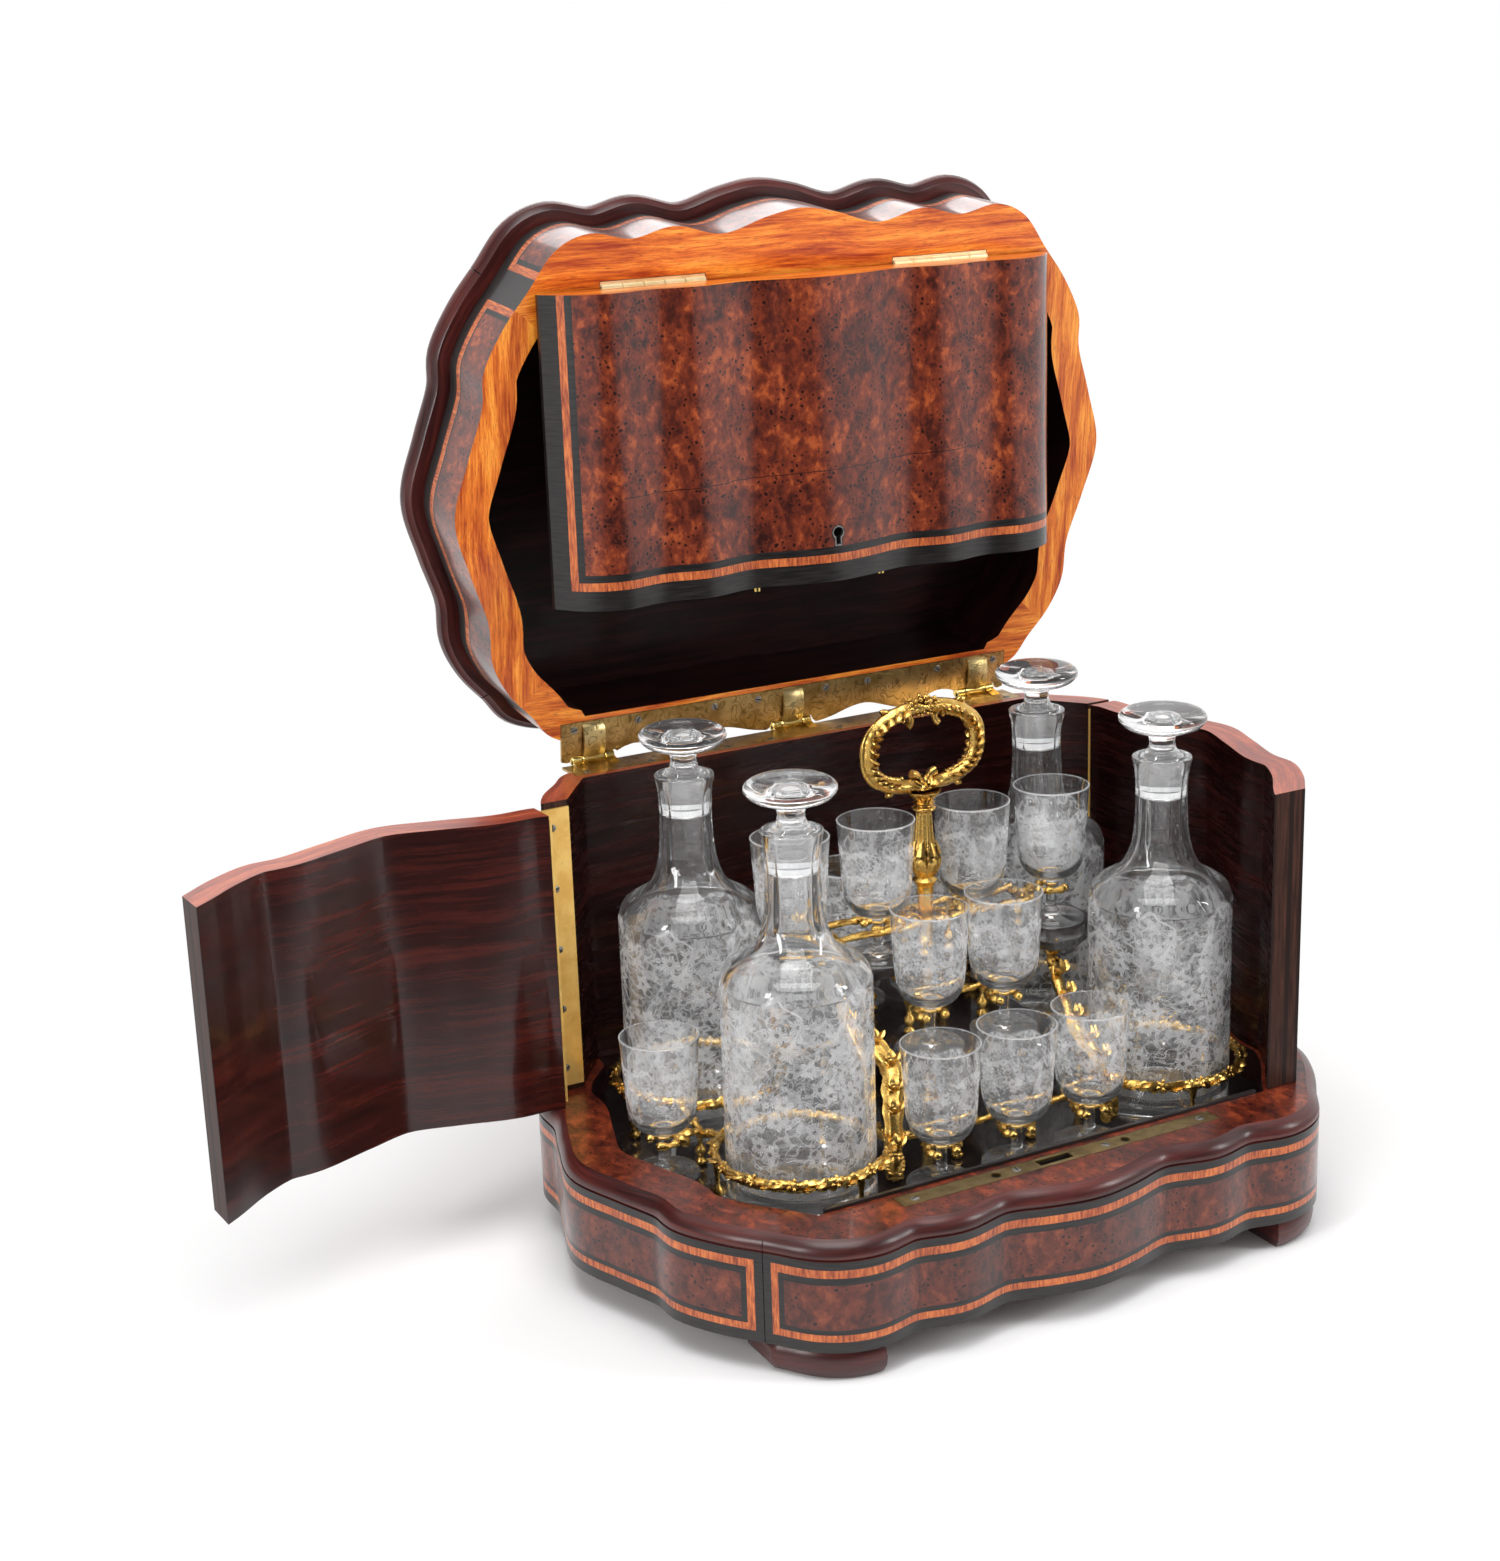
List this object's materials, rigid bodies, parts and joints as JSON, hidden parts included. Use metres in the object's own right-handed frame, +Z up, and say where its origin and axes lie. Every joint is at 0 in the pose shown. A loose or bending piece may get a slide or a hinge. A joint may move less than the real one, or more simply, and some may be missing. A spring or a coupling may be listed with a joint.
{
  "type": "liqueur case",
  "caption": "Serpentine veneered liqueur case with swinging sides and a lifting lid with a folding flap, over a lift-out tiered gilt rack of decanters and stemmed glasses.",
  "frame": {"origin": "middle in plan of the box round the open case, on the surface that its feet stand on; the middle of the shut case is at x 0.0766, y -0.0195", "axes": "+Z up, -Y towards the front (the flap's side), +X towards the case's right side"},
  "size_m": [0.5376, 0.3254, 0.4885],
  "materials": {
    "rosewood": "polished dark rosewood",
    "burl": "polished thuya burl with ebony and tulipwood stringing",
    "ebony": "polished, ebonised",
    "brass": "satin, slightly worn",
    "gilt": "bright gilt bronze, cast and chased",
    "steel": "filed",
    "crystal": "clear, cut and engraved"
  },
  "bodies": {
    "case": {"plinth": "burl", "foot_front_left": "rosewood", "foot_front_right": "rosewood", "foot_rear_left": "rosewood", "foot_rear_right": "rosewood", "strike_plate": "brass", "front_bead": "ebony", "back_wall": "rosewood", "left_hinge_wall_leaf": "brass", "right_hinge_wall_leaf": "brass", "lid_hinge_case_leaf": "brass"},
    "lid": {"lid_frame": "burl", "lid_top": "rosewood", "lid_hinge_lid_leaf": "brass", "flap_hinge_left_lid_leaf": "brass", "flap_hinge_right_lid_leaf": "brass"},
    "flap": {"front_flap": "burl", "escutcheon": "brass", "lock_case": "brass", "dowel_left": "brass", "dowel_right": "brass", "flap_hinge_left_flap_leaf": "brass", "flap_hinge_right_flap_leaf": "brass"},
    "bolt": {"lock_bolt": "steel"},
    "door_left": {"left_door": "rosewood", "left_hinge_door_leaf": "brass"},
    "door_right": {"right_door": "rosewood", "right_hinge_door_leaf": "brass"},
    "rack": {"rack_board": "ebony", "middle_platform": "ebony", "upper_platform": "ebony", "lower_gallery": "gilt", "middle_gallery": "gilt", "upper_gallery": "gilt", "handle_column": "gilt", "handle_loop": "gilt"},
    "decanter_front_left": {"decanter_front_left": "crystal"},
    "stopper_front_left": {"stopper_front_left": "crystal"},
    "decanter_front_right": {"decanter_front_right": "crystal"},
    "stopper_front_right": {"stopper_front_right": "crystal"},
    "decanter_rear_left": {"decanter_rear_left": "crystal"},
    "stopper_rear_left": {"stopper_rear_left": "crystal"},
    "decanter_rear_right": {"decanter_rear_right": "crystal"},
    "stopper_rear_right": {"stopper_rear_right": "crystal"},
    "glass_front_1": {"glass_front_1": "crystal"},
    "glass_rear_1": {"glass_rear_1": "crystal"},
    "glass_front_2": {"glass_front_2": "crystal"},
    "glass_rear_2": {"glass_rear_2": "crystal"},
    "glass_front_3": {"glass_front_3": "crystal"},
    "glass_rear_3": {"glass_rear_3": "crystal"},
    "glass_side_left": {"glass_side_left": "crystal"},
    "glass_middle_front_left": {"glass_middle_front_left": "crystal"},
    "glass_middle_rear_left": {"glass_middle_rear_left": "crystal"},
    "glass_upper_inner_left": {"glass_upper_inner_left": "crystal"},
    "glass_upper_outer_left": {"glass_upper_outer_left": "crystal"},
    "glass_side_right": {"glass_side_right": "crystal"},
    "glass_middle_front_right": {"glass_middle_front_right": "crystal"},
    "glass_middle_rear_right": {"glass_middle_rear_right": "crystal"},
    "glass_upper_inner_right": {"glass_upper_inner_right": "crystal"},
    "glass_upper_outer_right": {"glass_upper_outer_right": "crystal"}
  },
  "joints": [
    {"name": "lid_hinge", "type": "hinge", "parent": "case", "child": "lid", "pos_m": [0.07663, 0.10948, 0.215], "axis": [-1, 0, 0], "range_deg": [-38, 0]},
    {"name": "flap_hinge", "type": "hinge", "parent": "lid", "child": "flap", "pos_m": [0.07663, 0.08524, 0.44584], "axis": [1, 0, 0], "range_deg": [-84.5, 0]},
    {"name": "bolt_slide", "type": "slide", "parent": "flap", "child": "bolt", "axis": [0, 0, -1], "range_m": [0, 0.004]},
    {"name": "left_door_hinge", "type": "hinge", "parent": "case", "child": "door_left", "pos_m": [-0.09059, 0.05548, 0.0661], "axis": [0, 0, 1], "range_deg": [0, 87.3]},
    {"name": "right_door_hinge", "type": "hinge", "parent": "case", "child": "door_right", "pos_m": [0.24386, 0.05548, 0.0661], "axis": [0, 0, 1], "range_deg": [0, 87.3]},
    {"name": "rack_lift", "type": "slide", "parent": "case", "child": "rack", "axis": [0, 0, 1], "range_m": [0, 0.045]},
    {"name": "decanter_front_left_lift", "type": "slide", "parent": "rack", "child": "decanter_front_left", "axis": [0, 0, 1], "range_m": [0, 0.05]},
    {"name": "stopper_front_left_lift", "type": "slide", "parent": "decanter_front_left", "child": "stopper_front_left", "axis": [0, 0, 1], "range_m": [0, 0.035]},
    {"name": "decanter_front_right_lift", "type": "slide", "parent": "rack", "child": "decanter_front_right", "axis": [0, 0, 1], "range_m": [0, 0.05]},
    {"name": "stopper_front_right_lift", "type": "slide", "parent": "decanter_front_right", "child": "stopper_front_right", "axis": [0, 0, 1], "range_m": [0, 0.035]},
    {"name": "decanter_rear_left_lift", "type": "slide", "parent": "rack", "child": "decanter_rear_left", "axis": [0, 0, 1], "range_m": [0, 0.05]},
    {"name": "stopper_rear_left_lift", "type": "slide", "parent": "decanter_rear_left", "child": "stopper_rear_left", "axis": [0, 0, 1], "range_m": [0, 0.035]},
    {"name": "decanter_rear_right_lift", "type": "slide", "parent": "rack", "child": "decanter_rear_right", "axis": [0, 0, 1], "range_m": [0, 0.05]},
    {"name": "stopper_rear_right_lift", "type": "slide", "parent": "decanter_rear_right", "child": "stopper_rear_right", "axis": [0, 0, 1], "range_m": [0, 0.035]},
    {"name": "glass_front_1_slide", "type": "slide", "parent": "rack", "child": "glass_front_1", "axis": [0, -1, 0], "range_m": [0, 0.006]},
    {"name": "glass_rear_1_slide", "type": "slide", "parent": "rack", "child": "glass_rear_1", "axis": [0, 1, 0], "range_m": [0, 0.006]},
    {"name": "glass_front_2_slide", "type": "slide", "parent": "rack", "child": "glass_front_2", "axis": [0, -1, 0], "range_m": [0, 0.006]},
    {"name": "glass_rear_2_slide", "type": "slide", "parent": "rack", "child": "glass_rear_2", "axis": [0, 1, 0], "range_m": [0, 0.006]},
    {"name": "glass_front_3_slide", "type": "slide", "parent": "rack", "child": "glass_front_3", "axis": [0, -1, 0], "range_m": [0, 0.006]},
    {"name": "glass_rear_3_slide", "type": "slide", "parent": "rack", "child": "glass_rear_3", "axis": [0, 1, 0], "range_m": [0, 0.006]},
    {"name": "glass_side_left_slide", "type": "slide", "parent": "rack", "child": "glass_side_left", "axis": [-1, 0, 0], "range_m": [0, 0.0035]},
    {"name": "glass_middle_front_left_slide", "type": "slide", "parent": "rack", "child": "glass_middle_front_left", "axis": [0, -1, 0], "range_m": [0, 0.01]},
    {"name": "glass_middle_rear_left_slide", "type": "slide", "parent": "rack", "child": "glass_middle_rear_left", "axis": [0, 1, 0], "range_m": [0, 0.01]},
    {"name": "glass_upper_inner_left_slide", "type": "slide", "parent": "rack", "child": "glass_upper_inner_left", "axis": [-1, 0, 0], "range_m": [0, 0.006]},
    {"name": "glass_upper_outer_left_slide", "type": "slide", "parent": "rack", "child": "glass_upper_outer_left", "axis": [-1, 0, 0], "range_m": [0, 0.008]},
    {"name": "glass_side_right_slide", "type": "slide", "parent": "rack", "child": "glass_side_right", "axis": [1, 0, 0], "range_m": [0, 0.0035]},
    {"name": "glass_middle_front_right_slide", "type": "slide", "parent": "rack", "child": "glass_middle_front_right", "axis": [0, -1, 0], "range_m": [0, 0.01]},
    {"name": "glass_middle_rear_right_slide", "type": "slide", "parent": "rack", "child": "glass_middle_rear_right", "axis": [0, 1, 0], "range_m": [0, 0.01]},
    {"name": "glass_upper_inner_right_slide", "type": "slide", "parent": "rack", "child": "glass_upper_inner_right", "axis": [1, 0, 0], "range_m": [0, 0.006]},
    {"name": "glass_upper_outer_right_slide", "type": "slide", "parent": "rack", "child": "glass_upper_outer_right", "axis": [1, 0, 0], "range_m": [0, 0.008]}
  ]
}
